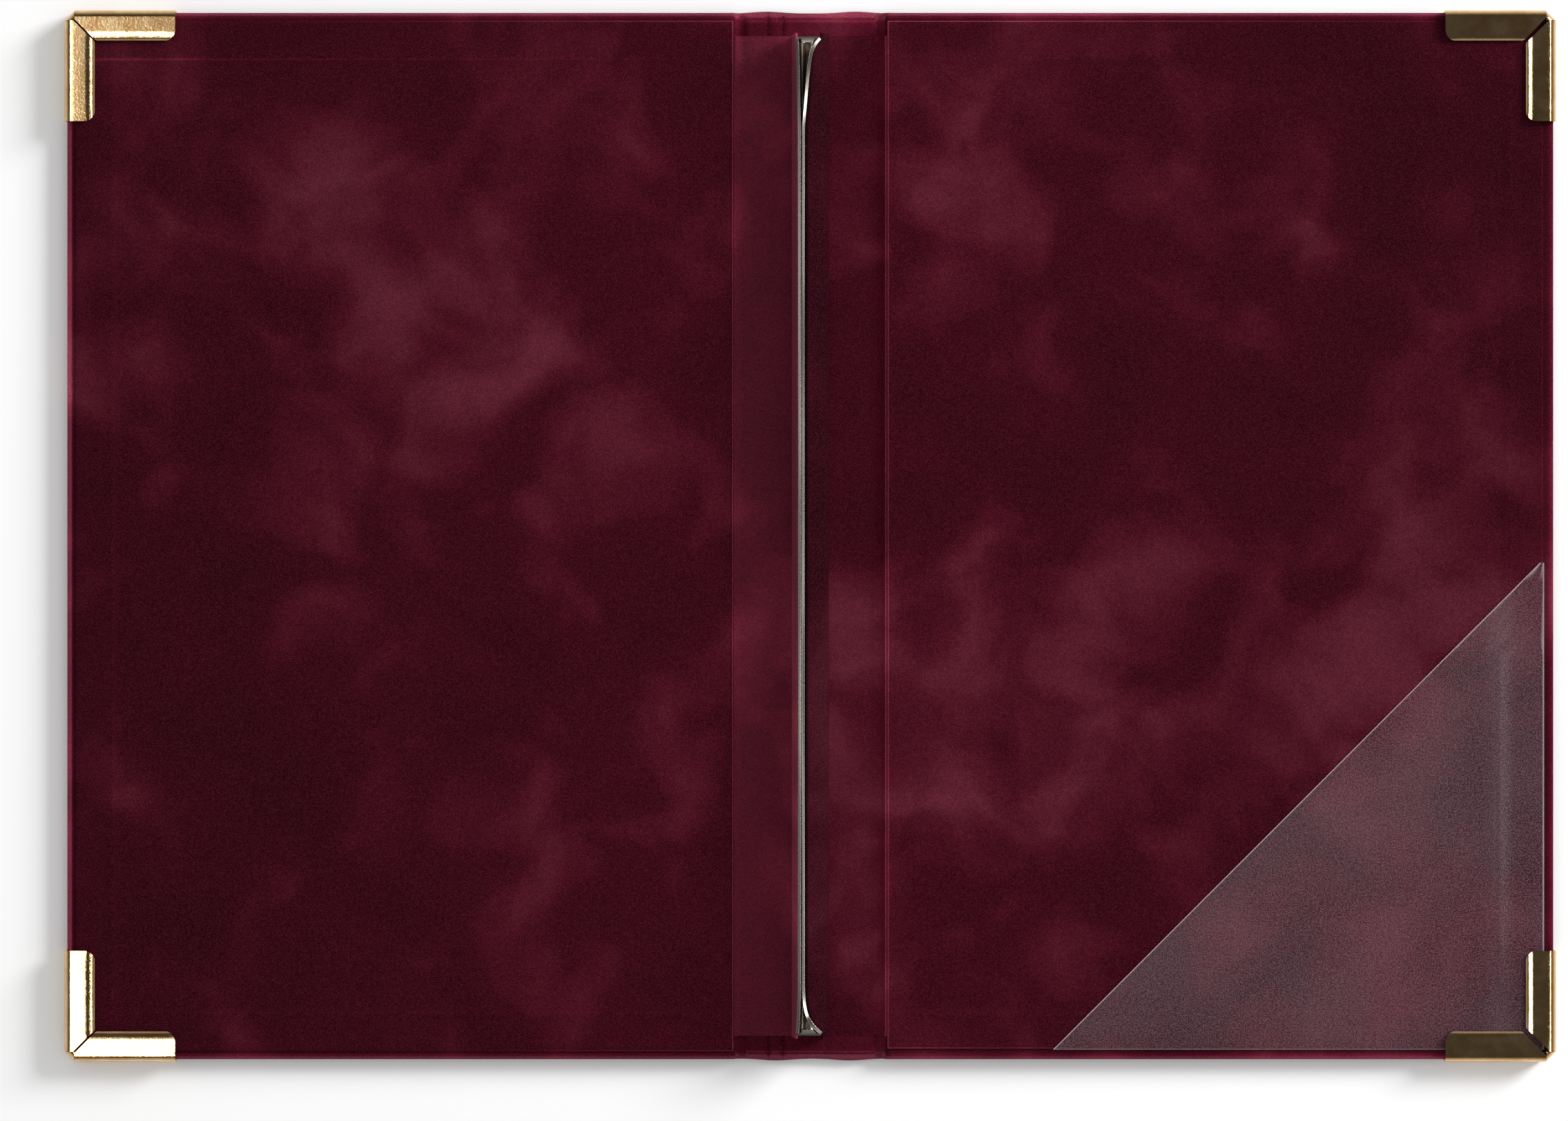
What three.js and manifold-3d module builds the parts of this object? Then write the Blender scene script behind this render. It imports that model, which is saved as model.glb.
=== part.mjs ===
// A family register folder for A5 sheets, lying open on a table with its lined inside up.
// Two greyboard covers hang on a cloth spine. Along the spine stands a clamp rail, rolled from one
// strip of spring steel: its lips press together and hold the sheets, and it leans to the front cover.
// Velvet wraps the outside and lines the inside. Folded brass corners guard the four corners, and the
// back cover has a clear corner pocket.
// Millimetres. +X runs from the front cover to the back cover, +Y to the head, +Z up.
// The origin is on the table, in the middle of the open folder.
import * as THREE from "three";
import { mergeVertices } from "three/addons/utils/BufferGeometryUtils.js";
import Module from "manifold-3d";

const wasm = await Module();
wasm.setup();

// Open folder, seen from above
const coverHeight = 235.1; // velvet edge to velvet edge, head to tail
const coverDepth = 149.6; // fore edge to the cover's spine side
const spineZone = 34.6; // between the spine sides of the two covers
const hingeGap = 2.6; // cover's spine side to the hinge line
const hingeSlack = 0.5; // hinge line to the spine's layers
const tongueGap = 0.3; // hinge line to the cover's own velvet
const cornerClip = 2.3; // clipped off each outer corner of a cover

// Layers
const velvet = 0.5; // pile and backing together
const board = 2.0; // greyboard
const infill = 0.45; // card that levels the board inside the turn-ins
const lining = 0.5; // velvet pasted down inside
const glue = 0.05; // between layers
const edgeRadius = 0.9; // velvet round the board's edge
const turnIn = 10.5; // velvet folded over the board's edge
const infillGap = 0.6; // turn-in to infill card
const liningMargin = 1.9; // lining short of the cover's edge
const pocketMargin = 2.5; // the same on the sides that hold the pocket film
const liningClip = 1.2; // clipped off each outer corner of a lining

// Spine
const spineCard = 0.5;
const lever = 0.6; // hard strip under the spine lining
const leverGap = 3.9; // rail's middle line to the lever strip
const leverShort = 2.1; // velvet's edge to the lever strip's end
const spineLining = 0.5;
const spineTurnIn = 5.2;
const spineLiningGap = 0.3; // turn-in to the spine lining's end

// Clamp rail, a drop shaped section that stands on the spine card
const railEndGap = 1.35; // spine's turn-in to the rail's end
const railSheet = 0.7; // spring steel
const railRadius = 3.6; // outside of the rolled back
const lipRise = 6.9; // middle of the rolled back to the lips' free edge
const lipDepth = 1.7; // where the two lips lie flat together
const lipSlit = 0.1; // left between the closed lips
const lipShift = 2.05; // how far the lips lean to the front cover
const flankVelvetGap = 0.1; // rail to the velvet on its flanks
const lipBare = 0.7; // bare steel above that velvet
const creaseRadius = 0.6; // velvet where it turns up the rail's flank

// Each end of a jaw opens: a straight part first, then a trumpet. side -1 is the front jaw
const mouths = {
  head: { length: 20, straight: { front: 0.45, back: 1.7 }, trumpet: { front: 0.1, back: 2.0 }, power: 10 },
  tail: { length: 10.5, straight: { front: 0.25, back: 0.5 }, trumpet: { front: 0.2, back: 3.5 }, power: 4 },
};

// Brass corner
const brass = 0.4; // sheet
const brassGap = 0.05; // velvet's edge to the brass
const cornerLeg = 24.5; // velvet's corner to the end of a flap
const flapWidth = 6.25; // velvet's edge to the flap's inner edge
const flapGap = 0.1; // pocket film to the flap's inner edge
const flapRound = 1.6; // bend from wall to flap, outside
const footRound = 0.8; // bend from wall to outer plate, outside
const flapSlope = 1.8; // turned down strip along the flap's inner edge
const flapSlopeAngle = THREE.MathUtils.degToRad(18);
const flapEndRadius = 2.4; // rounding of the flap's free end
const mitreSlit = 1.2; // between the two flaps
const tipClip = 1.45; // outside of the clipped tip, x + y in the corner's own frame
const tipCap = 1.9; // width of the cap that bridges the flaps at the tip
const plateEnd = 2.2; // width of the outer plate at the end of a leg

// Corner pocket
const film = 0.2;
const filmLift = 0.1; // lining to film
const pocketLeg = 110;

// Heights above the table: the folder rests on the outer plates of its corners
const velvetBottom = brass + brassGap;
const boardBottom = velvetBottom + velvet + glue;
const boardTop = boardBottom + board;
const turnInTop = boardTop + glue + velvet;
const liningBottom = turnInTop + glue;
const liningTop = liningBottom + lining;
const filmTop = liningTop + filmLift + film;
const brassTop = filmTop + flapGap + flapSlope * Math.sin(flapSlopeAngle) + brass;
const cardBottom = velvetBottom + velvet + glue;
const leverBottom = cardBottom + spineCard + glue;
const spineLayerBottom = leverBottom + lever + glue;
const spineLayerTop = spineLayerBottom + spineLining;
const railMiddle = cardBottom + spineCard + glue + railRadius;

// Places across the folder
const headY = coverHeight / 2;
const spineSide = spineZone / 2;
const foreX = spineSide + coverDepth;
const hingeX = spineSide - hingeGap;
const stiffX = hingeX - hingeSlack;
const spineLiningEndY = headY - spineTurnIn - spineLiningGap;
const railLength = 2 * (headY - spineTurnIn - railEndGap);
const FRONT = -1;
const BACK = 1;

// Colours and finishes
const materials = {
  velvet: new THREE.MeshStandardMaterial({ color: 0x4a101f, roughness: 1.0, metalness: 0 }),
  greyboard: new THREE.MeshStandardMaterial({ color: 0x8f897e, roughness: 0.9, metalness: 0 }),
  card: new THREE.MeshStandardMaterial({ color: 0xd8d3c6, roughness: 0.85, metalness: 0 }),
  lever: new THREE.MeshStandardMaterial({ color: 0x6f6a62, roughness: 0.8, metalness: 0 }),
  steel: new THREE.MeshStandardMaterial({ color: 0xb9bcbf, roughness: 0.28, metalness: 1 }),
  brass: new THREE.MeshStandardMaterial({ color: 0xc8a45c, roughness: 0.22, metalness: 1 }),
  film: new THREE.MeshStandardMaterial({
    color: 0xe4e4ea,
    roughness: 0.2,
    metalness: 0,
    transparent: true,
    opacity: 0.3,
  }),
};

// A geometry with merged corners as a solid that can be cut and joined
function solidOf(geometry) {
  const loose = geometry.index ? geometry.toNonIndexed() : geometry;
  const bare = new THREE.BufferGeometry().setAttribute("position", loose.getAttribute("position"));
  const merged = mergeVertices(bare, 1e-4);
  return new wasm.Manifold(
    new wasm.Mesh({
      numProp: 3,
      vertProperties: merged.attributes.position.array,
      triVerts: new Uint32Array(merged.index.array),
    }),
  );
}

// A solid as a geometry
function geometryOf(solid) {
  const mesh = solid.getMesh();
  const geometry = new THREE.BufferGeometry();
  geometry.setAttribute("position", new THREE.BufferAttribute(mesh.vertProperties.slice(), 3));
  geometry.setIndex(new THREE.BufferAttribute(mesh.triVerts.slice(), 1));
  geometry.computeVertexNormals();
  return geometry;
}

// One named piece
function piece(name, geometry, material) {
  const mesh = new THREE.Mesh(geometry, material);
  mesh.name = name;
  return mesh;
}

// A box between two corners, given in any order
function block([x0, y0, z0], [x1, y1, z1]) {
  const box = new THREE.BoxGeometry(Math.abs(x1 - x0), Math.abs(y1 - y0), Math.abs(z1 - z0));
  return box.translate((x0 + x1) / 2, (y0 + y1) / 2, (z0 + z1) / 2);
}

// A closed outline through [x, y] points
function outline(points) {
  return new THREE.Shape(points.map(([x, y]) => new THREE.Vector2(x, y)));
}

// A flat plate between two heights
function plate(shape, bottom, top) {
  return new THREE.ExtrudeGeometry(shape, { depth: top - bottom, bevelEnabled: false }).translate(0, 0, bottom);
}

// A section drawn in X and Z, drawn out along Y with its middle at Y 0
function alongY(section, length, steps = 1) {
  const drawn = new THREE.ExtrudeGeometry(section, { depth: length, steps, bevelEnabled: false });
  return drawn.rotateX(Math.PI / 2).translate(0, length / 2, 0);
}

// The outline of a sheet that follows a line, with half its thickness either side
function ribbon(line, thickness) {
  const sides = [1, -1].map((hand) =>
    line.map((point, i) => {
      const before = line[Math.max(i - 1, 0)];
      const after = line[Math.min(i + 1, line.length - 1)];
      const into = point.clone().sub(before).normalize();
      const out = after.clone().sub(point).normalize();
      if (i === 0) into.copy(out);
      if (i === line.length - 1) out.copy(into);
      const along = into.clone().add(out).normalize();
      const reach = (hand * thickness) / 2 / along.dot(out);
      return new THREE.Vector2(point.x - along.y * reach, point.y + along.x * reach);
    }),
  );
  return new THREE.Shape([...sides[0], ...sides[1].reverse()]);
}

// Points on an arc, from one angle to another in radians
function arc(x, z, radius, from, to, count) {
  return Array.from({ length: count + 1 }, (_, i) => {
    const angle = from + ((to - from) * i) / count;
    return new THREE.Vector2(x + radius * Math.cos(angle), z + radius * Math.sin(angle));
  });
}

// A cover's outline, held back from its fore edge, head and tail, with clipped outer corners
function coverOutline(side, { fore, head, tail, clip, spine = spineSide }) {
  const x = foreX - fore;
  const top = headY - head;
  const bottom = -headY + tail;
  const points = [
    [spine, bottom],
    [x - clip, bottom],
    [x, bottom + clip],
    [x, top - clip],
    [x - clip, top],
    [spine, top],
  ];
  return outline(points.map(([px, py]) => [side * px, py]));
}

// The same distance held back on all three edges. Its clipped corner stays parallel to the cover's own
function insetOutline(side, inset, spine = spineSide) {
  const clip = Math.max(cornerClip - inset * (2 - Math.SQRT2), 0.3);
  return coverOutline(side, { fore: inset, head: inset, tail: inset, clip, spine });
}

// Velvet round a cover: outside, three edges, turn-ins, and a tongue to the hinge line
function coverVelvet(side) {
  const beyond = spineSide - 5;
  const slab = new THREE.ExtrudeGeometry(insetOutline(side, edgeRadius, beyond), {
    depth: turnInTop - velvetBottom - 2 * edgeRadius,
    bevelEnabled: true,
    bevelThickness: edgeRadius,
    bevelSize: edgeRadius,
    bevelSegments: 3,
  }).translate(0, 0, velvetBottom + edgeRadius);
  const keep = block([side * spineSide, -coverHeight, -1], [side * (foreX + 1), coverHeight, 10]);
  const inside = plate(insetOutline(side, velvet, beyond), velvetBottom + velvet, turnInTop - velvet);
  const window = plate(insetOutline(side, turnIn, beyond), boardTop, turnInTop + 1);
  const tongue = block(
    [side * (hingeX + tongueGap), -headY, velvetBottom],
    [side * (spineSide + velvet), headY, velvetBottom + velvet],
  );
  return geometryOf(
    solidOf(slab).intersect(solidOf(keep)).subtract(solidOf(inside)).subtract(solidOf(window)).add(solidOf(tongue)),
  );
}

// Velvet behind the spine: one strip folded over at head and tail
function spineVelvet() {
  const y = headY;
  const low = velvetBottom;
  const high = spineLayerTop;
  const section = outline([
    [-y + edgeRadius / 2, low],
    [y - edgeRadius / 2, low],
    [y, low + edgeRadius / 2],
    [y, high - edgeRadius / 2],
    [y - edgeRadius / 2, high],
    [y - spineTurnIn, high],
    [y - spineTurnIn, high - velvet],
    [y - velvet, high - velvet],
    [y - velvet, low + velvet],
    [-y + velvet, low + velvet],
    [-y + velvet, high - velvet],
    [-y + spineTurnIn, high - velvet],
    [-y + spineTurnIn, high],
    [-y + edgeRadius / 2, high],
    [-y, high - edgeRadius / 2],
    [-y, low + edgeRadius / 2],
  ]);
  return alongY(section, 2 * stiffX).rotateZ(Math.PI / 2);
}

// The rail's own upright is turned from the vertical by this angle, towards the front cover
const lean = Math.asin(lipShift / lipRise);
const lipMiddle = (lipSlit + railSheet) / 2;
const sheetMiddle = railRadius - railSheet / 2;
const lipRoot = lipRise - lipDepth;
const rootReach = Math.hypot(lipMiddle, lipRoot);
// A flank is the tangent from the lip's root to the rolled back, this far from the rail's upright
const flankAngle = Math.asin(sheetMiddle / rootReach) - Math.atan2(lipMiddle, lipRoot);

// A point given in the rail's leaning frame, as a point of the section in X and Z
function leaning(across, up) {
  return new THREE.Vector2(
    across * Math.cos(lean) - up * Math.sin(lean),
    railMiddle + across * Math.sin(lean) + up * Math.cos(lean),
  );
}

// Sideways opening of a jaw at a place along the rail, full at the lips and nothing at the rolled back
function opening(side, y, z) {
  const mouth = y > 0 ? mouths.head : mouths.tail;
  const jaw = side < 0 ? "front" : "back";
  const along = THREE.MathUtils.clamp((Math.abs(y) - railLength / 2 + mouth.length) / mouth.length, 0, 1);
  const up = Math.max(0, (z - railMiddle) / (lipRise * Math.cos(lean)));
  const reach = mouth.straight[jaw] * along + mouth.trumpet[jaw] * along ** mouth.power;
  return side * reach * up ** 1.5;
}

// Where the rail's sections stand along Y, closer together towards its ends
const railSteps = 34;
const railStations = Array.from(
  { length: railSteps + 1 },
  (_, i) => (railLength / 2) * Math.sin(Math.PI * (i / railSteps - 0.5)),
);

// A section drawn out through stations along the rail, with its ends opened as the jaws are
function alongRail(section, stations, jawOf) {
  const steps = stations.length - 1;
  const drawn = alongY(section, steps, steps);
  const place = drawn.getAttribute("position");
  for (let i = 0; i < place.count; i++) {
    const [x, z] = [place.getX(i), place.getZ(i)];
    const y = stations[Math.round(place.getY(i) + steps / 2)];
    place.setXYZ(i, x + opening(jawOf(x, z), y, z), y, z);
  }
  return drawn;
}

// The clamp rail: lip, flank, rolled back, flank, lip
function clampRail() {
  const back = arc(0, 0, sheetMiddle, Math.PI - flankAngle, 2 * Math.PI + flankAngle, 14);
  const line = [
    new THREE.Vector2(-lipMiddle, lipRise),
    new THREE.Vector2(-lipMiddle, lipRoot),
    ...back,
    new THREE.Vector2(lipMiddle, lipRoot),
    new THREE.Vector2(lipMiddle, lipRise),
  ].map((p) => leaning(p.x, p.y));
  const jawOf = (x, z) => Math.sign(x * Math.cos(lean) + (z - railMiddle) * Math.sin(lean));
  return alongRail(ribbon(line, railSheet), railStations, jawOf);
}

// A spine lining: flat on the lever strip, then up the rail's flank to just below the lip's edge
function spineLiningStrip(side) {
  const flat = spineLayerBottom + spineLining / 2;
  const offset = flankVelvetGap + spineLining / 2;
  const round = railRadius + offset;
  const drop = railMiddle - flat - creaseRadius;
  const creaseX = Math.sqrt((round + creaseRadius) ** 2 - drop ** 2);
  const meet = Math.atan2(-drop, creaseX);
  const lipSide = lipMiddle + railSheet / 2 + offset;
  const kneeUp = (round - lipSide * Math.cos(flankAngle)) / Math.sin(flankAngle);
  const low = [
    new THREE.Vector2(stiffX, flat),
    ...arc(creaseX, flat + creaseRadius, creaseRadius, -Math.PI / 2, meet - Math.PI, 4),
    ...arc(0, railMiddle, round, meet, flankAngle + side * lean, 6).slice(1),
  ].map((p) => new THREE.Vector2(side * p.x, p.y));
  const line = [...low, leaning(side * lipSide, kneeUp), leaning(side * lipSide, lipRise - lipBare)];
  const stations = [-spineLiningEndY, ...railStations, spineLiningEndY];
  return alongRail(ribbon(line, spineLining), stations, () => side);
}

// One leg of a brass corner, along +Y: foot, wall, flap and the strip turned down at its inner edge
function cornerLegSolid() {
  const outer = -brassGap - brass;
  const top = brassTop;
  const slopeRun = flapSlope * Math.cos(flapSlopeAngle);
  const slopeDrop = flapSlope * Math.sin(flapSlopeAngle);
  const half = brass / 2;
  const line = [
    new THREE.Vector2(outer + footRound * 3, half),
    ...arc(outer + footRound, footRound, footRound - half, -Math.PI / 2, -Math.PI, 3),
    ...arc(outer + flapRound, top - flapRound, flapRound - half, Math.PI, Math.PI / 2, 5),
    new THREE.Vector2(flapWidth - slopeRun, top - half),
    new THREE.Vector2(flapWidth, top - half - slopeDrop),
  ];
  const length = cornerLeg - outer;
  const drawn = alongY(ribbon(line, brass), length).translate(0, length / 2 + outer, 0);
  return solidOf(drawn);
}

// What a flap keeps, seen from above: its side of the mitre, with the free end rounded
function flapKeep() {
  const past = -1;
  const shift = mitreSlit / Math.SQRT2;
  const inner = flapWidth + 1;
  const keep = new THREE.Shape();
  keep.moveTo(past, past);
  keep.lineTo(tipCap / 2, past);
  keep.lineTo(tipCap / 2, tipCap / 2 + shift);
  keep.lineTo(inner, inner + shift);
  keep.lineTo(inner, cornerLeg - flapEndRadius - (inner - flapWidth));
  keep.lineTo(flapWidth, cornerLeg - flapEndRadius);
  keep.absarc(flapWidth - flapEndRadius, cornerLeg - flapEndRadius, flapEndRadius, 0, Math.PI / 2);
  keep.lineTo(past, cornerLeg);
  return solidOf(
    new THREE.ExtrudeGeometry(keep, { depth: 20, bevelEnabled: false, curveSegments: 4 }).translate(0, 0, -5),
  );
}

// A brass corner in its own frame: the velvet's corner at the origin, the cover along +X and +Y
function brassCorner() {
  const outer = -brassGap - brass;
  const top = brassTop;
  const leg = cornerLegSolid().intersect(flapKeep());
  const other = leg.mirror([1, -1, 0]);
  const tip = (from, to, bottom, height) =>
    solidOf(
      plate(
        outline([
          [from - outer, outer],
          [to - outer, outer],
          [outer, to - outer],
          [outer, from - outer],
        ]),
        bottom,
        height,
      ),
    );
  const wall = tip(tipClip, tipClip + brass * Math.SQRT2, 0, top - brass);
  const cap = tip(tipClip, tipClip + tipCap * Math.SQRT2, top - 2 * brass, top - brass);
  const inset = outer + footRound;
  const sheet = solidOf(
    plate(
      outline([
        [tipClip - inset, inset],
        [cornerLeg, inset],
        [cornerLeg, plateEnd],
        [plateEnd, cornerLeg],
        [inset, cornerLeg],
        [inset, tipClip - inset],
      ]),
      0,
      brass,
    ),
  );
  const clipped = new THREE.Shape();
  clipped.moveTo(tipClip - outer, outer);
  clipped.lineTo(cornerLeg + 1, outer);
  clipped.lineTo(cornerLeg + 1, cornerLeg + 1);
  clipped.lineTo(outer, cornerLeg + 1);
  clipped.lineTo(outer, tipClip - outer);
  const trim = solidOf(plate(clipped, -1, top + 1));
  return geometryOf(leg.add(other).add(sheet).intersect(trim).add(wall).add(cap));
}

// Clear film over the back cover's lower outer corner, folded down round the lining's two edges
function pocketFilm() {
  const x = foreX - pocketMargin + glue + film;
  const y = -headY + pocketMargin - glue - film;
  const triangle = outline([
    [x, y],
    [x, y + pocketLeg],
    [x - pocketLeg, y],
  ]);
  const sheet = plate(triangle, filmTop - film, filmTop);
  const foreFold = block([x - film, y, liningBottom], [x, y + pocketLeg - film, filmTop]);
  const tailFold = block([x - pocketLeg + film, y, liningBottom], [x, y + film, filmTop]);
  const whole = solidOf(plate(triangle, liningBottom, filmTop));
  return geometryOf(solidOf(sheet).add(solidOf(foreFold)).add(solidOf(tailFold)).intersect(whole));
}

// A cover and all that moves with it
function cover(side, name) {
  const group = new THREE.Group();
  const holdsPocket = side === BACK;
  const margin = holdsPocket ? pocketMargin : liningMargin;

  const stiff = new THREE.ExtrudeGeometry(insetOutline(side, velvet + glue), { depth: board, bevelEnabled: false });
  const boardMesh = piece(name + "_board", stiff, materials.greyboard);
  boardMesh.position.z = boardBottom;

  const fill = new THREE.ExtrudeGeometry(insetOutline(side, turnIn + infillGap), {
    depth: infill,
    bevelEnabled: false,
  });
  const infillMesh = piece(name + "_infill_card", fill, materials.card);
  infillMesh.position.z = boardTop + glue;

  const pasted = new THREE.ExtrudeGeometry(
    coverOutline(side, { fore: margin, head: liningMargin, tail: margin, clip: liningClip }),
    { depth: lining, bevelEnabled: false },
  );
  const liningMesh = piece(name + "_lining", pasted, materials.velvet);
  liningMesh.position.z = liningBottom;

  const shape = brassCorner();
  const head = piece("corner_" + name + "_head", shape, materials.brass);
  head.position.set(side * foreX, headY, 0);
  head.rotation.z = side === FRONT ? -Math.PI / 2 : Math.PI;
  const tail = piece("corner_" + name + "_tail", shape, materials.brass);
  tail.position.set(side * foreX, -headY, 0);
  tail.rotation.z = side === FRONT ? 0 : Math.PI / 2;

  group.add(boardMesh, infillMesh, liningMesh, head, tail);
  group.add(piece(name + "_velvet", coverVelvet(side), materials.velvet));
  if (holdsPocket) group.add(piece("corner_pocket", pocketFilm(), materials.film));
  return group;
}

// The spine's layers and the clamp rail
function spine() {
  const group = new THREE.Group();
  const stiffY = headY - velvet - glue;
  const card = block([-stiffX, -stiffY, 0], [stiffX, stiffY, spineCard]);
  const cardMesh = piece("spine_card", card, materials.card);
  cardMesh.position.z = cardBottom;
  group.add(cardMesh);
  for (const [side, name] of [
    [FRONT, "front"],
    [BACK, "back"],
  ]) {
    const leverY = headY - leverShort;
    const strip = block([side * leverGap, -leverY, 0], [side * stiffX, leverY, lever]);
    const leverMesh = piece("lever_strip_" + name, strip, materials.lever);
    leverMesh.position.z = leverBottom;
    group.add(leverMesh, piece("spine_lining_" + name, spineLiningStrip(side), materials.velvet));
  }
  group.add(piece("spine_velvet", spineVelvet(), materials.velvet));
  group.add(piece("clamp_rail", clampRail(), materials.steel));
  return group;
}

const folder = new THREE.Group();
folder.add(spine(), cover(FRONT, "front"), cover(BACK, "back"));

export default folder;
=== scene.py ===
"""Looks for the family register folder: velvet, brass corners, a nickel clamp rail and a clear pocket."""

import math

import bmesh
import bpy
from mathutils import Matrix, Vector


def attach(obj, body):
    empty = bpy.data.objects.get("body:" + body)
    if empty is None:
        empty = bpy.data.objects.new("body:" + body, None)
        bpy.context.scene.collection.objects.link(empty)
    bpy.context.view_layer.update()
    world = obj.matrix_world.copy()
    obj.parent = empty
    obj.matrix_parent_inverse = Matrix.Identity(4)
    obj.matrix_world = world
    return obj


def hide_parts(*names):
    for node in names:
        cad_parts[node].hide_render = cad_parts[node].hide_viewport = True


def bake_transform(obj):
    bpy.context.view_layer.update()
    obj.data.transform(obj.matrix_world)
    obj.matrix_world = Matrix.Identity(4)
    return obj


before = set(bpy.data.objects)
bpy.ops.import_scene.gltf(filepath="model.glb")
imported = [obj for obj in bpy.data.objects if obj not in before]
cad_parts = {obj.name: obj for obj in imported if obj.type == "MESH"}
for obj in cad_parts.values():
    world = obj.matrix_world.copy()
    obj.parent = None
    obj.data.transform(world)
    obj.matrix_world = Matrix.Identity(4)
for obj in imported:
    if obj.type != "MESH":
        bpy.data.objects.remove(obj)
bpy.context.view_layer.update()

# Sizes in millimetres, as the solids have them
MM = 0.001
HEAD = 117.55  # velvet's head edge
FORE = 166.9  # velvet's fore edge
SPINE_SIDE = 17.3  # cover's spine side
STIFF = 14.2  # outer edge of the lever strips
CLIP = 2.3  # clipped corner of a cover
VELVET = 0.5
VELVET_BOTTOM = 0.45
TURN_IN_TOP = 3.55
TURN_IN = 10.5
SPINE_TURN_IN = 5.25
JOINT_TOP = 1.95  # top of the turned-in velvet where it crosses the joint
TAB_CREASES = {-9.4: 0.3, -6.1: 0.3, 3.3: 0.16}  # place across the spine's turned-in velvet, and depth
# Creases along which the cloth's colour is darkened with painted shade
SHADE_PAINTED_CREASES = (-9.4, -6.1)  # those that are deep enough to look dark
LINING_BOTTOM = 3.6
LINING_TOP = 4.1
LINING_MARGIN = 1.9
POCKET_MARGIN = 2.5
SPINE_LAYER_BOTTOM = 2.2
SPINE_LINING_END = 112.32
RAIL_MIDDLE = 5.15
RAIL_RADIUS = 3.6
RAIL_SHEET = 0.7
RAIL_END = 111.0
LIP_RISE = 6.9
LIP_DEPTH = 1.7
LIP_SLIT = 0.24  # near the ends, where the dark line between the lips shows
LIP_SLIT_MIDDLE = 0.1  # the lips close on each other halfway, as in the solids
LIP_SHIFT = 2.05
LIP_BARE = 0.7
BRASS = 0.4
BRASS_TOP = 5.456
BRASS_OUT = 0.45  # the brass stands this far outside the velvet
FOOT_BEND = 0.6
FLAP_BEND = 1.4
CORNER_LEG = 24.5
FLAP_WIDTH = 6.25
TIP_CLIP = 1.45
TIP_END = 1.88
LEG_START = 1.92
SLIT_START = 1.7
FILM = 0.2
# Place of a crease in the film, along which a milky band of painted light runs
FILM_CREASE_AT = 154.5  # a crease in the film, rubbed milky
POCKET_LEG = 110
FRONT = -1
BACK = 1
SIDES = ((FRONT, "front"), (BACK, "back"))


# Mesh helpers. Points are in millimetres until a piece is finished
def chain_of(bm, points):
    """Vertices joined one after the other."""
    verts = [bm.verts.new(p) for p in points]
    for a, b in zip(verts, verts[1:]):
        bm.edges.new((a, b))
    return verts


def place_key(co):
    return tuple(round(c, 6) for c in co)


def grow(bm, chain, points):
    """Extrudes a chain of edges and sets the new vertices on the points, in order."""
    edges = [bm.edges.get((a, b)) for a, b in zip(chain, chain[1:])]
    made = bmesh.ops.extrude_edge_only(bm, edges=edges)["geom"]
    at = {place_key(v.co): v for v in made if isinstance(v, bmesh.types.BMVert)}
    grown = [at[place_key(v.co)] for v in chain]
    for vert, point in zip(grown, points):
        vert.co = point
    return grown


def swept(rows):
    """A surface through rows of points."""
    bm = bmesh.new()
    chain = chain_of(bm, rows[0])
    for row in rows[1:]:
        chain = grow(bm, chain, row)
    return bm


def piece(name, bm, material, smooth_angle=40):
    """Finishes a bmesh as an object in metres, with its place in its mesh."""
    bmesh.ops.recalc_face_normals(bm, faces=bm.faces)
    bmesh.ops.scale(bm, vec=(MM, MM, MM), verts=bm.verts)
    mesh = bpy.data.meshes.new(name)
    bm.to_mesh(mesh)
    bm.free()
    mesh.shade_smooth()
    mesh.set_sharp_from_angle(angle=math.radians(smooth_angle))
    faces_at = {}
    for face in mesh.polygons:
        for key in face.edge_keys:
            faces_at[key] = faces_at.get(key, 0) + 1
    for edge in mesh.edges:
        edge.use_edge_sharp = edge.use_edge_sharp or faces_at.get(edge.key, 0) == 1
    mesh.materials.append(material)
    made = bpy.data.objects.new(name, mesh)
    bpy.context.scene.collection.objects.link(made)
    return made


def paint_light_and_shade(obj, painted_light_at):
    """Painted light and shade at each vertex: above 0 the cloth is painted lighter, below 0 darker."""
    painted_light = obj.data.attributes.new("painted_light", "FLOAT", "POINT")
    painted_light.data.foreach_set("value", [painted_light_at(v.co / MM) for v in obj.data.vertices])


def thicken(obj, thickness, offset):
    wall = obj.modifiers.new("wall", "SOLIDIFY")
    wall.thickness = thickness * MM
    wall.offset = offset
    wall.use_even_offset = True


def soften(obj, width, segments=2, angle=35):
    edge = obj.modifiers.new("soft_edge", "BEVEL")
    edge.width = width * MM
    edge.segments = segments
    edge.limit_method = "ANGLE"
    edge.angle_limit = math.radians(angle)
    edge.harden_normals = True


def smooth(t):
    t = min(max(t, 0.0), 1.0)
    return t * t * (3 - 2 * t)


def between(low, high, count):
    return [low + (high - low) * i / count for i in range(count + 1)]


# Materials
def linear(code):
    """A colour written as sRGB hex, as linear values."""
    values = [int(code[i : i + 2], 16) / 255 for i in (1, 3, 5)]
    return tuple(v / 12.92 if v <= 0.04045 else ((v + 0.055) / 1.055) ** 2.4 for v in values) + (1.0,)


def add(tree, kind, inputs=None, stops=(), **settings):
    """Adds a node with its settings, its inputs as values or links, and the stops of a colour ramp."""
    made = tree.nodes.new(kind)
    for name, value in settings.items():
        setattr(made, name, value)
    for name, value in (inputs or {}).items():
        if isinstance(value, bpy.types.NodeSocket):
            tree.links.new(value, made.inputs[name])
        else:
            made.inputs[name].default_value = value
    if stops:
        elements = made.color_ramp.elements
        while len(elements) < len(stops):
            elements.new(0.5)
        for element, (at, code) in zip(elements, stops):
            element.position = at
            element.color = linear(code)
    return made


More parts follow.
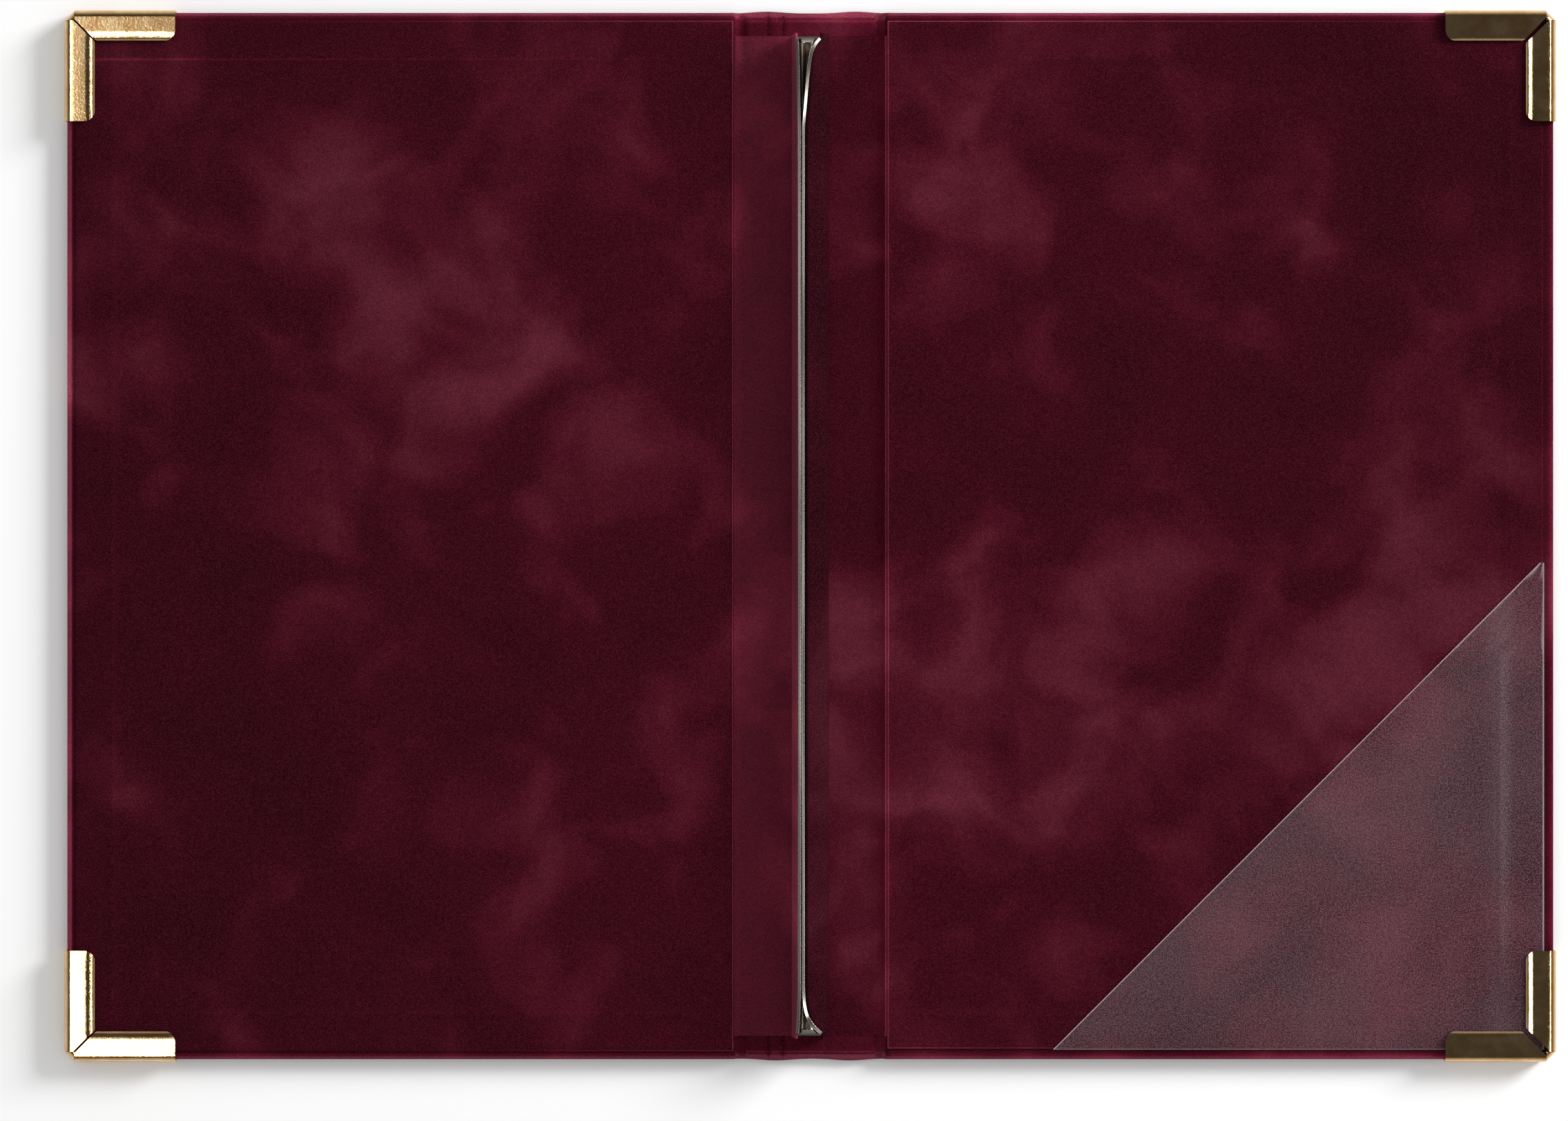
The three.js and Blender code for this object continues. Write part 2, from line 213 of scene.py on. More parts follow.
def start(name):
    """A new material, its node tree and its shader."""
    material = bpy.data.materials.new(name)
    material.use_nodes = True
    tree = material.node_tree
    tree.nodes.clear()
    shader = add(tree, "ShaderNodeBsdfPrincipled")
    add(tree, "ShaderNodeOutputMaterial", {"Surface": shader.outputs["BSDF"]})
    return material, tree, shader


def velvet_cloth():
    # Short pile cotton velvet, dark, with painted light and shade along its edges, folds and flanks, and
    # painted glints on its fibre ends
    material, tree, shader = start("pile_velvet")
    place = add(tree, "ShaderNodeTexCoord").outputs["Object"]
    # Crushed patches about 24 mm across, and wide shading of 90 mm where a hand has stroked the pile
    brushed = add(
        tree, "ShaderNodeTexNoise", {"Vector": place, "Scale": 42, "Detail": 2, "Distortion": 0.4}
    ).outputs["Fac"]
    stroked = add(tree, "ShaderNodeTexNoise", {"Vector": place, "Scale": 11, "Detail": 1}).outputs["Fac"]
    # Tufts about 1.1 mm across
    tufts = add(
        tree, "ShaderNodeTexNoise", {"Vector": place, "Scale": 900, "Detail": 2, "Roughness": 0.6}
    ).outputs["Fac"]
    # Fibre ends, drawn 0.25 mm across where real ones are 0.1 mm, so that they show
    ends = add(tree, "ShaderNodeTexNoise", {"Vector": place, "Scale": 4200, "Detail": 1}).outputs["Fac"]
    mottle = add(tree, "ShaderNodeMath", {0: brushed, 1: stroked}, operation="ADD").outputs["Value"]
    half = add(tree, "ShaderNodeMath", {0: mottle, 1: 0.5}, operation="MULTIPLY").outputs["Value"]
    crushed = [(0.38, "#2a030c"), (0.49, "#30040f"), (0.56, "#3f0b18"), (0.66, "#521c28")]
    patch = add(tree, "ShaderNodeValToRGB", {"Fac": half}, crushed).outputs["Color"]
    # Painted glints on the fibre ends, added to the colour
    glints = [(0.4, "#000000"), (0.75, "#30101a")]
    fibre_glint = add(tree, "ShaderNodeValToRGB", {"Fac": ends}, glints).outputs["Color"]
    shades = [(0.3, "#e6e6e6"), (0.7, "#ffffff")]
    grain = add(tree, "ShaderNodeValToRGB", {"Fac": tufts}, shades).outputs["Color"]
    body = add(
        tree, "ShaderNodeMix", {"Factor": 1.0, 6: patch, 7: grain}, data_type="RGBA", blend_type="MULTIPLY"
    ).outputs[2]
    # Painted light and shade: the cloth is painted lighter along edges and folds and where shade falls, and
    # darker on a lit flank and in creases
    painted_light = add(tree, "ShaderNodeAttribute", attribute_name="painted_light", attribute_type="GEOMETRY").outputs["Fac"]
    gain = add(tree, "ShaderNodeMath", {0: painted_light, 1: 0.9, 2: 1.0}, operation="MULTIPLY_ADD").outputs["Value"]
    light_painted_body = add(tree, "ShaderNodeVectorMath", {0: body, "Scale": gain}, operation="SCALE").outputs["Vector"]
    speckled = add(
        tree, "ShaderNodeMix", {"Factor": 1.0, 6: light_painted_body, 7: fibre_glint}, data_type="RGBA", blend_type="ADD"
    ).outputs[2]
    # Painted sheen: where the painted light passes 2, on edges and ridges, a pale pink is added
    edge_sheen = add(tree, "ShaderNodeMapRange", {"Value": painted_light, "From Min": 2.0, "From Max": 3.0}).outputs["Result"]
    sheen_lifted = add(
        tree,
        "ShaderNodeMix",
        {"Factor": edge_sheen, 6: speckled, 7: linear("#462a32")},
        data_type="RGBA",
        blend_type="ADD",
    ).outputs[2]
    # Light and dark fibre ends side by side, as strong on the pale edges as on the dark body
    bright = add(
        tree,
        "ShaderNodeMapRange",
        {"Value": ends, "From Min": 0.3, "From Max": 0.7, "To Min": 0.76, "To Max": 1.24},
    ).outputs["Result"]
    colour = add(
        tree, "ShaderNodeVectorMath", {0: sheen_lifted, "Scale": bright}, operation="SCALE"
    ).outputs["Vector"]
    tree.links.new(colour, shader.inputs["Base Color"])
    shader.inputs["Roughness"].default_value = 0.95
    shader.inputs["Specular IOR Level"].default_value = 0.02
    shader.inputs["Sheen Weight"].default_value = 0.03
    shader.inputs["Sheen Roughness"].default_value = 0.35
    shader.inputs["Sheen Tint"].default_value = linear("#a03048")
    fine = add(
        tree, "ShaderNodeBump", {"Height": ends, "Strength": 0.1, "Distance": 0.00012}
    ).outputs["Normal"]
    pile = add(
        tree, "ShaderNodeBump", {"Height": tufts, "Strength": 0.1, "Distance": 0.0003, "Normal": fine}
    ).outputs["Normal"]
    tree.links.new(pile, shader.inputs["Normal"])
    return material


def polished_brass():
    # Brass plated pressed steel, polished and lacquered: bright reflections, fine pits and hazy rub marks
    material, tree, shader = start("polished_brass")
    place = add(tree, "ShaderNodeTexCoord").outputs["Object"]
    # Pits drawn 0.6 mm across where real ones are finer, so that they show, and rub marks of 4 mm
    pits = add(
        tree, "ShaderNodeTexNoise", {"Vector": place, "Scale": 1800, "Detail": 3, "Roughness": 0.7}
    ).outputs["Fac"]
    rubs = add(
        tree, "ShaderNodeTexNoise", {"Vector": place, "Scale": 260, "Detail": 4, "Roughness": 0.6}
    ).outputs["Fac"]
    shades = [(0.25, "#cda06c"), (0.5, "#dbb37f"), (0.75, "#e6c79a")]
    colour = add(tree, "ShaderNodeValToRGB", {"Fac": rubs}, shades).outputs["Color"]
    rough = add(
        tree,
        "ShaderNodeMapRange",
        {"Value": rubs, "From Min": 0.3, "From Max": 0.7, "To Min": 0.05, "To Max": 0.1},
    ).outputs["Result"]
    tree.links.new(colour, shader.inputs["Base Color"])
    tree.links.new(rough, shader.inputs["Roughness"])
    shader.inputs["Metallic"].default_value = 1.0
    bump = add(tree, "ShaderNodeBump", {"Height": pits, "Strength": 0.34, "Distance": 0.00008})
    tree.links.new(bump.outputs["Normal"], shader.inputs["Normal"])
    return material


def nickel_steel():
    # Nickel plated spring steel, drawn lengthwise: faint streaks along the rail
    material, tree, shader = start("nickel_spring_steel")
    place = add(tree, "ShaderNodeTexCoord").outputs["Object"]
    # Streaks 30 mm long, drawn 0.6 mm wide where real ones are finer, so that they show
    along = add(tree, "ShaderNodeMapping", {"Vector": place, "Scale": (1, 0.02, 1)}).outputs["Vector"]
    streaks = add(tree, "ShaderNodeTexNoise", {"Vector": along, "Scale": 1600, "Detail": 0}).outputs["Fac"]
    shades = [(0.3, "#a0988f"), (0.7, "#ada59b")]
    colour = add(tree, "ShaderNodeValToRGB", {"Fac": streaks}, shades).outputs["Color"]
    rough = add(
        tree,
        "ShaderNodeMapRange",
        {"Value": streaks, "From Min": 0.3, "From Max": 0.7, "To Min": 0.16, "To Max": 0.22},
    ).outputs["Result"]
    tree.links.new(colour, shader.inputs["Base Color"])
    tree.links.new(rough, shader.inputs["Roughness"])
    shader.inputs["Metallic"].default_value = 1.0
    bump = add(tree, "ShaderNodeBump", {"Height": streaks, "Strength": 0.04, "Distance": 0.00003})
    tree.links.new(bump.outputs["Normal"], shader.inputs["Normal"])
    return material


def clear_film():
    # Calendered soft PVC film: see-through with a grey haze, dust on it, and painted highlights on its cut
    # and folded edges
    material, tree, shader = start("clear_soft_film")
    place = add(tree, "ShaderNodeTexCoord").outputs["Object"]
    # Dust drawn 0.3 mm across where real specks are finer, so that they show, and haze of 36 mm
    dust = add(tree, "ShaderNodeTexNoise", {"Vector": place, "Scale": 3600, "Detail": 1}).outputs["Fac"]
    haze = add(tree, "ShaderNodeTexNoise", {"Vector": place, "Scale": 28, "Detail": 2}).outputs["Fac"]
    veil = add(
        tree, "ShaderNodeMapRange", {"Value": haze, "From Min": 0.35, "From Max": 0.65, "To Max": 0.025}
    ).outputs["Result"]
    # A milky band, 9 mm wide, painted along the crease near the fore edge as the streak of light the crease
    # shows
    across = add(tree, "ShaderNodeSeparateXYZ", {"Vector": place}).outputs["X"]
    off = add(tree, "ShaderNodeMath", {0: across, 1: FILM_CREASE_AT * MM}, operation="SUBTRACT").outputs["Value"]
    off = add(tree, "ShaderNodeMath", {0: off}, operation="ABSOLUTE").outputs["Value"]
    band = add(
        tree,
        "ShaderNodeMapRange",
        {"Value": off, "From Min": 0.0045, "From Max": 0.0, "To Max": 0.05},
        interpolation_type="SMOOTHSTEP",
    ).outputs["Result"]
    milky = add(tree, "ShaderNodeMath", {0: band, 1: haze}, operation="MULTIPLY").outputs["Value"]
    specks = add(
        tree, "ShaderNodeMapRange", {"Value": dust, "From Min": 0.42, "From Max": 0.78, "To Max": 0.19}
    ).outputs["Result"]
    hazy = add(tree, "ShaderNodeMath", {0: veil, 1: milky}, operation="ADD").outputs["Value"]
    clean = add(tree, "ShaderNodeMath", {0: hazy, 1: specks}, operation="ADD").outputs["Value"]
    # Painted highlights on the film's cut and folded edges: these are whiter and less clear
    edge = add(
        tree, "ShaderNodeAttribute", attribute_name="edge_highlight", attribute_type="GEOMETRY"
    ).outputs["Fac"]
    alpha = add(tree, "ShaderNodeMath", {0: edge, 1: clean}, operation="ADD").outputs["Value"]
    tree.links.new(alpha, shader.inputs["Alpha"])
    colour = add(
        tree, "ShaderNodeMix", {"Factor": edge, 6: linear("#a9939c"), 7: linear("#fff6fa")}, data_type="RGBA"
    ).outputs[2]
    tree.links.new(colour, shader.inputs["Base Color"])
    shader.inputs["Roughness"].default_value = 0.3
    shader.inputs["IOR"].default_value = 1.53
    bump = add(tree, "ShaderNodeBump", {"Height": dust, "Strength": 0.3, "Distance": 0.00004})
    tree.links.new(bump.outputs["Normal"], shader.inputs["Normal"])
    return material


def pressed_board(name, dark, light, fibres_per_metre):
    # Uncoated board from pulp: matt, with fibres about 1 mm long in it
    material, tree, shader = start(name)
    place = add(tree, "ShaderNodeTexCoord").outputs["Object"]
    fibres = add(
        tree,
        "ShaderNodeTexNoise",
        {"Vector": place, "Scale": fibres_per_metre, "Detail": 5, "Roughness": 0.7},
    ).outputs["Fac"]
    colour = add(tree, "ShaderNodeValToRGB", {"Fac": fibres}, [(0.3, dark), (0.7, light)]).outputs["Color"]
    tree.links.new(colour, shader.inputs["Base Color"])
    shader.inputs["Roughness"].default_value = 0.9
    bump = add(tree, "ShaderNodeBump", {"Height": fibres, "Strength": 0.3, "Distance": 0.0001})
    tree.links.new(bump.outputs["Normal"], shader.inputs["Normal"])
    return material


velvet = velvet_cloth()
brass = polished_brass()
steel = nickel_steel()
film = clear_film()
greyboard = pressed_board("grey_board", "#7d776c", "#989184", 700)
card = pressed_board("white_card", "#cfc9bb", "#e0dbcf", 1100)
lever_board = pressed_board("hard_pressed_board", "#5f5a52", "#7a746a", 900)


# Velvet round a cover and its half of the spine
def groove(x):
    """Height of the folded velvet's top at the head and tail edges: cover, joint, spine."""
    x = abs(x)
    if x > 15.7:
        return JOINT_TOP + (TURN_IN_TOP - JOINT_TOP) * smooth((x - 15.9) / 1.7)
    return JOINT_TOP + 0.15 * smooth((15.3 - x) / 1.5)


def edge_swell(x, end):
    """How far the cloth stands out past the straight edge over the spine."""
    at = (9.8 if x < 0 else 10.3) if end > 0 else (7.7 if x < 0 else 8.8)
    return 0.4 * math.exp(-(((abs(x) - at) / 4.5) ** 2))


def tab_rise(x, inset, end):
    """The step up over the ends of the strips under the spine's turned-in velvet."""
    side = 1 - smooth((abs(x) - 13.9) / 1.3)
    start_at = 1.0 if end > 0 else 0.9
    grown = smooth((inset - start_at) / 1.1)
    rise = 0.55 * side * grown
    for crease, depth in TAB_CREASES.items():
        rise -= depth * side * math.exp(-(((x - crease) / 0.45) ** 2)) * grown
    return rise


def wrap_profile(x, end):
    """Distance in from the edge, and height, of the velvet as it folds round the edge at x."""
    top = groove(x)
    low = VELVET_BOTTOM
    radius = min(0.95, (top - low) / 2)
    points = []
    for step in range(5):
        turn = math.radians(90 - 22.5 * step)
        points.append((radius - radius * math.cos(turn), low + radius - radius * math.sin(turn)))
    for step in range(5):
        turn = math.radians(22.5 * step)
        points.append((radius - radius * math.cos(turn), top - radius + radius * math.sin(turn)))
    in_spine = smooth((16.6 - abs(x)) / 1.6)
    reach = TURN_IN + (SPINE_TURN_IN - TURN_IN) * in_spine
    over_spine = [1.4, 1.75, 2.05, 2.4, 2.8, 3.6, 4.6, 5.2]
    over_cover = [1.4, 1.9, 2.6, 3.6, 5.0, 7.0, 9.0, 10.5]
    for near, wide in zip(over_spine, over_cover):
        inset = wide + (near - wide) * in_spine
        inset = min(inset, reach)
        points.append((inset, top + (tab_rise(x, inset, end) if abs(x) < 15.5 else 0)))
    swell = edge_swell(x, end)
    return [(inset - swell * (1 - smooth(inset / 2.5)), z) for inset, z in points]


def cover_wrap(side, name):
    """One cloth from the middle of the spine, round the board and back, turned in on all three sides."""
    # Places across, closest together at the creases and the joint
    across = [0, 1.5, 2.5, 3.3, 4.1, 5.2, 5.7, 6.1, 6.5, 7.2, 8.2, 8.9, 9.4, 9.9, 11, 12.4, 13.4, 13.9, 14.3]
    across += [14.7, 15.1, 15.5, 15.9, 16.3, 16.7, 17.1, 17.5, 18.2, 22, 40, 75, 110, 140, 150]
    up = between(-105, 105, 12)
    rows = []
    for step in range(len(wrap_profile(0, 1))):
        row = []
        for x in across:
            inset, z = wrap_profile(side * x, -1)[step]
            row.append((side * x, -HEAD + inset, z))
        inset, z = wrap_profile(side * across[-1], 1)[step]
        clip = max(CLIP - inset * (2 - math.sqrt(2)), 0.3)
        fore = FORE - inset
        head = HEAD - inset
        row += [(side * (fore - clip), -head, z), (side * fore, -head + clip, z)]
        row += [(side * fore, y, z) for y in up]
        row += [(side * fore, head - clip, z), (side * (fore - clip), head, z)]
        for x in reversed(across):
            inset, z = wrap_profile(side * x, 1)[step]
            row.append((side * x, HEAD - inset, z))
        rows.append(row)
    bm = bmesh.new()
    chain = chain_of(bm, rows[0])
    bm.edges.new((chain[-1], chain[0]))
    bmesh.ops.contextual_create(bm, geom=chain)
    for row in rows[1:]:
        chain = grow(bm, chain, row)
    # The flat outside is cut at the same places
    for x in across[1:]:
        flat = [f for f in bm.faces if all(abs(v.co.z - VELVET_BOTTOM) < 1e-4 for v in f.verts)]
        ring = list({e for f in flat for e in f.edges}) + list({v for f in flat for v in f.verts})
        at = (side * x, 0, 0)
        bmesh.ops.bisect_plane(bm, geom=flat + ring, dist=1e-4, plane_co=at, plane_no=(1, 0, 0))
    made = piece(name, bm, velvet, 60)

    def painted_light_at(co):
        # Painted light and shade, only on the inside: highlights along the edges, stronger on the front
        # cover's fore edge, which lies away from the lamp; lighter cloth in the joint, whose recess is in
        # shade; a highlight on the step at the tab's end; and painted shade in the deeper creases
        if co.z <= 1.2:
            return 0.0
        from_fore = FORE - abs(co.x)
        from_end = HEAD - abs(co.y)
        pale = 3
        if from_fore < from_end:
            pale = 6 if side == FRONT else 1.8
        edge_sheen = pale * math.exp(-(((min(from_fore, from_end) - 0.3) / 0.85) ** 2))
        tab = 0.0
        if 14.6 < abs(co.x) < 16.8 and from_end > 0.8:
            tab = 1.5 if side == FRONT else 2.1
        if abs(co.x) < 14.6:
            step_at = 1.9 if co.y > 0 else 1.75
            tab = 1.0 + 1.4 * math.exp(-(((from_end - step_at) / 0.3) ** 2))
            tab -= 1.2 * sum(math.exp(-(((co.x - crease) / 0.4) ** 2)) for crease in SHADE_PAINTED_CREASES)
        return edge_sheen + tab

    paint_light_and_shade(made, painted_light_at)
    thicken(made, VELVET * 0.92, -1)
    return made


for side, name in SIDES:
    wrap = cover_wrap(side, "cover_cloth_" + name)
    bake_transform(wrap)
    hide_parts(name + "_velvet", "spine_velvet")


# Linings pasted down inside the covers
def lining_height(x, y):
    """The lining dips from the turned-in velvet under it to the card inside it."""
    inward = min(FORE - abs(x), HEAD - abs(y))
    ridge = 0.06 * math.exp(-(((inward - TURN_IN + 0.5) / 0.5) ** 2))
    return ridge - 0.12 * smooth((inward - TURN_IN) / 1.2)


def cover_lining(side, name):
    """A sheet with a rounded rim, cut where its top follows what lies under it."""
    margin = POCKET_MARGIN if side == BACK else LINING_MARGIN
    fore = FORE - margin
    head = HEAD - LINING_MARGIN
    tail = -HEAD + margin
    clip = 1.2
    outline = [
        (SPINE_SIDE, tail),
        (fore - clip, tail),
        (fore, tail + clip),
        (fore, head - clip),
        (fore - clip, head),
        (SPINE_SIDE, head),
    ]
    bm = bmesh.new()
    ring = chain_of(bm, [(side * x, y, LINING_BOTTOM) for x, y in outline])
    bm.edges.new((ring[-1], ring[0]))
    floor = bmesh.ops.contextual_create(bm, geom=ring)["faces"]
    raised = bmesh.ops.extrude_face_region(bm, geom=floor)["geom"]
    top = [v for v in raised if isinstance(v, bmesh.types.BMVert)]
    bmesh.ops.translate(bm, vec=(0, 0, LINING_TOP - LINING_BOTTOM), verts=top)
    rim = [e for e in bm.edges if all(v.co.z > LINING_TOP - 0.01 for v in e.verts)]
    bmesh.ops.bevel(
        bm, geom=rim, offset=0.3, segments=3, profile=0.5, affect="EDGES", material=-1, offset_type="OFFSET"
    )
    lines = [((side * (SPINE_SIDE + near), 0, 0), (1, 0, 0)) for near in (0.45, 0.8, 1.3)]
    for near in (3.2, 8.6, 9.4, 9.8, 10.2, 10.6, 11.0, 11.6, 12.4):
        lines.append(((side * (FORE - near), 0, 0), (1, 0, 0)))
        lines += [((0, end * (HEAD - near), 0), (0, 1, 0)) for end in (1, -1)]
    for co, normal in lines:
        high = [f for f in bm.faces if f.calc_center_median().z > LINING_TOP - 0.001]
        geom = high + list({e for f in high for e in f.edges}) + list({v for f in high for v in f.verts})
        bmesh.ops.bisect_plane(bm, geom=geom, dist=1e-4, plane_co=co, plane_no=normal)
    bm.normal_update()
    for vert in bm.verts:
        if vert.co.z > LINING_TOP - 0.001:
            vert.co.z += lining_height(vert.co.x, vert.co.y)
    made = piece(name, bm, velvet, 50)

    def painted_light_at(co):
        # Painted light: a highlight on the ridge over the turned-in velvet, strong near the front cover's
        # head, highlights along the spine side and round the rim, and lighter cloth beside the spine, where
        # shade falls
        inward = min(FORE - abs(co.x), HEAD - abs(co.y))
        ridge_highlight = 0.15
        if side == FRONT and co.x < -95 and co.y > 0:
            inward = HEAD - co.y
            ridge_highlight = 1.7
        ridge = ridge_highlight * math.exp(-(((inward - 10.6) / 0.25) ** 2))
        spine_edge = (4.2 if side == BACK else 3.2) * math.exp(-(((abs(co.x) - SPINE_SIDE) / 0.25) ** 2))
        rim = 1.3 * (co.z < LINING_TOP - 0.15)
        beside = 0.45 * math.exp(-((abs(co.x) - SPINE_SIDE) / 6))
        return max(ridge, spine_edge, rim) + beside

    paint_light_and_shade(made, painted_light_at)
    return made


for side, name in SIDES:
    lining = cover_lining(side, "inner_lining_" + name)
    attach(lining, name + "_cover")
    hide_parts(name + "_lining")


# The clamp rail and the velvet on its flanks
LEAN = math.asin(LIP_SHIFT / LIP_RISE)
LIP_MIDDLE = (LIP_SLIT + RAIL_SHEET) / 2
SHEET_MIDDLE = RAIL_RADIUS - RAIL_SHEET / 2
LIP_ROOT = LIP_RISE - LIP_DEPTH
ROOT_REACH = math.hypot(LIP_MIDDLE, LIP_ROOT)
FLANK_ANGLE = math.asin(SHEET_MIDDLE / ROOT_REACH) - math.atan2(LIP_MIDDLE, LIP_ROOT)
# Length of the open end, then how far the front and back jaws open: straight, trumpet, and its power
MOUTHS = {1: (20, (0.45, 0.1), (1.7, 2.0), 10), -1: (10.5, (0.25, 0.2), (0.5, 3.5), 4)}


def leaning(across, up):
    """A place in the upright rail's own section, once the rail leans."""
    return (
        across * math.cos(LEAN) - up * math.sin(LEAN),
        RAIL_MIDDLE + across * math.sin(LEAN) + up * math.cos(LEAN),
    )


def opening(side, y, z):
    """Sideways opening of a jaw at a place along the rail."""
    length, front, back, power = MOUTHS[1 if y > 0 else -1]
    straight, trumpet = front if side < 0 else back
    along = min(max((abs(y) - RAIL_END + length) / length, 0), 1)
    up = max(0, (z - RAIL_MIDDLE) / (LIP_RISE * math.cos(LEAN)))
    return side * (straight * along + trumpet * along**power) * up**1.5


def rail_stations():
    middle = between(-88, 88, 8)
    head = [RAIL_END - 20 + 20 * math.sin(math.pi / 2 * i / 22) for i in range(23)]
    tail = [-(RAIL_END - 12 + 12 * math.sin(math.pi / 2 * i / 18)) for i in range(19)]
    return sorted(set(middle + head + tail))


def clamp_rail():
    """One rolled strip: down a lip and a flank, round the bottom, and up the other side."""
    line = [(-LIP_MIDDLE, LIP_RISE - LIP_DEPTH * i / 4) for i in range(4)]
    line.append((-LIP_MIDDLE, LIP_ROOT))
    start_at = math.pi - FLANK_ANGLE
    first = (SHEET_MIDDLE * math.cos(start_at), SHEET_MIDDLE * math.sin(start_at))
    for i in range(1, 5):
        t = i / 5
        line.append((-LIP_MIDDLE + (first[0] + LIP_MIDDLE) * t, LIP_ROOT + (first[1] - LIP_ROOT) * t))
    for i in range(29):
        turn = start_at + (math.pi + 2 * FLANK_ANGLE) * i / 28
        line.append((SHEET_MIDDLE * math.cos(turn), SHEET_MIDDLE * math.sin(turn)))
    half = len(line) - 29
    line += [(-x, up) for x, up in reversed(line[:half])]
    middle = len(line) // 2
    rows = []
    for y in rail_stations():
        # Closed within 40 mm of the middle, and open to the full slit from 90 mm
        shut = (LIP_SLIT - LIP_SLIT_MIDDLE) / 2 * smooth((90 - abs(y)) / 50)
        row = []
        for i, (across, up) in enumerate(line):
            lip_side = -1 if i < middle else 1
            x, z = leaning(across - lip_side * shut * min(max(up / LIP_ROOT, 0), 1), up)
            row.append((x + opening(lip_side, y, z), y, z))
        rows.append(row)
    made = piece("clamp_rail_steel", swept(rows), steel, 50)
    thicken(made, RAIL_SHEET, 0)
    soften(made, 0.3, 4)
    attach(made, "spine")
    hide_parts("clamp_rail")


def strip_section(side):
    """Section of the velvet from the rail's lip, over the lever strip, to up under the cover's lining."""
    flat = SPINE_LAYER_BOTTOM + VELVET / 2
    offset = 0.1 + VELVET / 2
    rounding = RAIL_RADIUS + offset
    crease = 0.6
    drop = RAIL_MIDDLE - flat - crease
    crease_x = math.sqrt((rounding + crease) ** 2 - drop**2)
    meet = math.atan2(-drop, crease_x)
    lip_side = LIP_MIDDLE + RAIL_SHEET / 2 + offset
    knee = (rounding - lip_side * math.cos(FLANK_ANGLE)) / math.sin(FLANK_ANGLE)
    foot = (rounding * math.cos(FLANK_ANGLE), rounding * math.sin(FLANK_ANGLE))
    line = [leaning(side * lip_side, up) for up in between(LIP_RISE - LIP_BARE, knee, 3)]
    for t in between(0, 1, 5)[1:-1]:
        line.append(leaning(side * (lip_side + (foot[0] - lip_side) * t), knee + (foot[1] - knee) * t))
    tangent = FLANK_ANGLE + side * LEAN
    for i in range(11):
        turn = tangent + (meet - tangent) * i / 10
        line.append((side * rounding * math.cos(turn), RAIL_MIDDLE + rounding * math.sin(turn)))
    for i in range(1, 6):
        turn = meet - math.pi + (-math.pi / 2 - meet + math.pi) * i / 5
        line.append((side * (crease_x + crease * math.cos(turn)), flat + crease + crease * math.sin(turn)))
    for x, z in (
        (8.5, flat),
        (11.5, flat),
        (13.4, flat),
        (STIFF, flat - 0.04),
        (14.8, flat - 0.14),
        (15.3, flat - 0.18),
        (15.8, flat - 0.1),
        (16.2, flat + 0.12),
        (16.55, flat + 0.45),
        (16.8, flat + 0.8),
        (16.95, flat + 1.15),
        (17.02, flat + 1.4),
    ):
        line.append((side * x, z))
    return line


def spine_strip(side, name):
    line = strip_section(side)
    rows = []
    for y in [-SPINE_LINING_END] + rail_stations() + [SPINE_LINING_END]:
        row = []
        for x, z in line:
            lift = opening(side, y, z) if abs(x) < 8 else 0
            row.append((x + lift, y, z))
        rows.append(row)
    made = piece(name, swept(rows), velvet, 70)

    def painted_light_at(co):
        # Painted light and shade: a highlight on the fold up under the lining, lighter cloth in the joint and
        # all over the front strip, which lies in the rail's shadow, and painted shade on the back flank,
        # which faces the lamp
        if abs(co.x) > 16.6:
            return 2.2
        if co.z < 3.2 or abs(co.x) > 13:
            in_joint = smooth(abs(co.x) - STIFF)
            return 0.35 + 1.4 * in_joint if side == BACK else 2.3
        return -0.6 if side == BACK else 3.2

    paint_light_and_shade(made, painted_light_at)
    thicken(made, VELVET * 0.9, 0)
    soften(made, 0.12, 2, 50)
    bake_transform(made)
    width = sum(math.dist(a, b) for a, b in zip(line, line[1:]))
    return made


clamp_rail()
for side, name in SIDES:
    strip = spine_strip(side, "spine_strip_" + name)
    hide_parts("spine_lining_" + name)


# Folded brass corners, in their own frame: the velvet's corner at the origin, the cover along +X and +Y
def cut(bm, co, normal):
    """Cuts away what lies on the normal's side of a plane."""
    geom = list(bm.verts) + list(bm.edges) + list(bm.faces)
    bmesh.ops.bisect_plane(bm, geom=geom, dist=1e-5, plane_co=co, plane_no=normal, clear_outer=True)


def round_off(bm, centre, radius, low, high, count=5):
    """Rounds a corner seen from above with cuts round a circle, between two directions in degrees."""
    for turn in between(low, high, count):
        way = Vector((math.cos(math.radians(turn)), math.sin(math.radians(turn)), 0))
        cut(bm, Vector((centre[0], centre[1], 0)) + way * radius, way)


def corner_section(flap):
    """Section of a corner leg through its middle: foot, wall and flap."""
    half = BRASS / 2
    wall = half - BRASS_OUT
    low_bend = half + FOOT_BEND
    high_bend = BRASS_TOP - half - FLAP_BEND
    points = []
    for turn in between(-90, -180, 4):
        way = math.radians(turn)
        points.append((wall + FOOT_BEND + FOOT_BEND * math.cos(way), low_bend + FOOT_BEND * math.sin(way)))
    points.append((wall, (low_bend + high_bend) / 2))
    for turn in between(180, 90, 8):
        way = math.radians(turn)
        points.append((wall + FLAP_BEND + FLAP_BEND * math.cos(way), high_bend + FLAP_BEND * math.sin(way)))
    return points + flap


